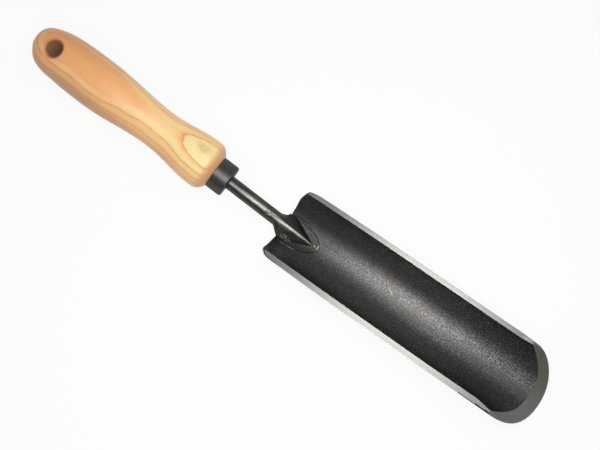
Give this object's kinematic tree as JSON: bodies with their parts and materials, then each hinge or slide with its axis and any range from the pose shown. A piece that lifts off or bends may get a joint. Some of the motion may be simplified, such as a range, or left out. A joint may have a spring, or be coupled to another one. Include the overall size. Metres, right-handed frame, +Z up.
{
  "type": "garden trowel",
  "caption": "Garden trowel: a long half-round steel scoop with ground edges, a round neck with a ridged leaf, a black ferrule and a turned ash handle with a hang hole.",
  "frame": {"origin": "middle of the tool's length and of its width, on the ground under the back of the scoop", "axes": "+X towards the scoop's round end, +Z up out of the scoop, +Y across it; the handle rises towards -X"},
  "size_m": [0.3826, 0.053, 0.0663],
  "materials": {
    "forged_steel": "satin",
    "blackened_neck": "gloss",
    "weld_steel": "satin",
    "ferrule_black": "satin",
    "ash_wood": "satin"
  },
  "bodies": {
    "root": {"blade": "forged_steel", "shank": "blackened_neck", "weld_bead_left": "weld_steel", "weld_bead_right": "weld_steel", "ferrule": "ferrule_black", "handle": "ash_wood"}
  },
  "joints": []
}
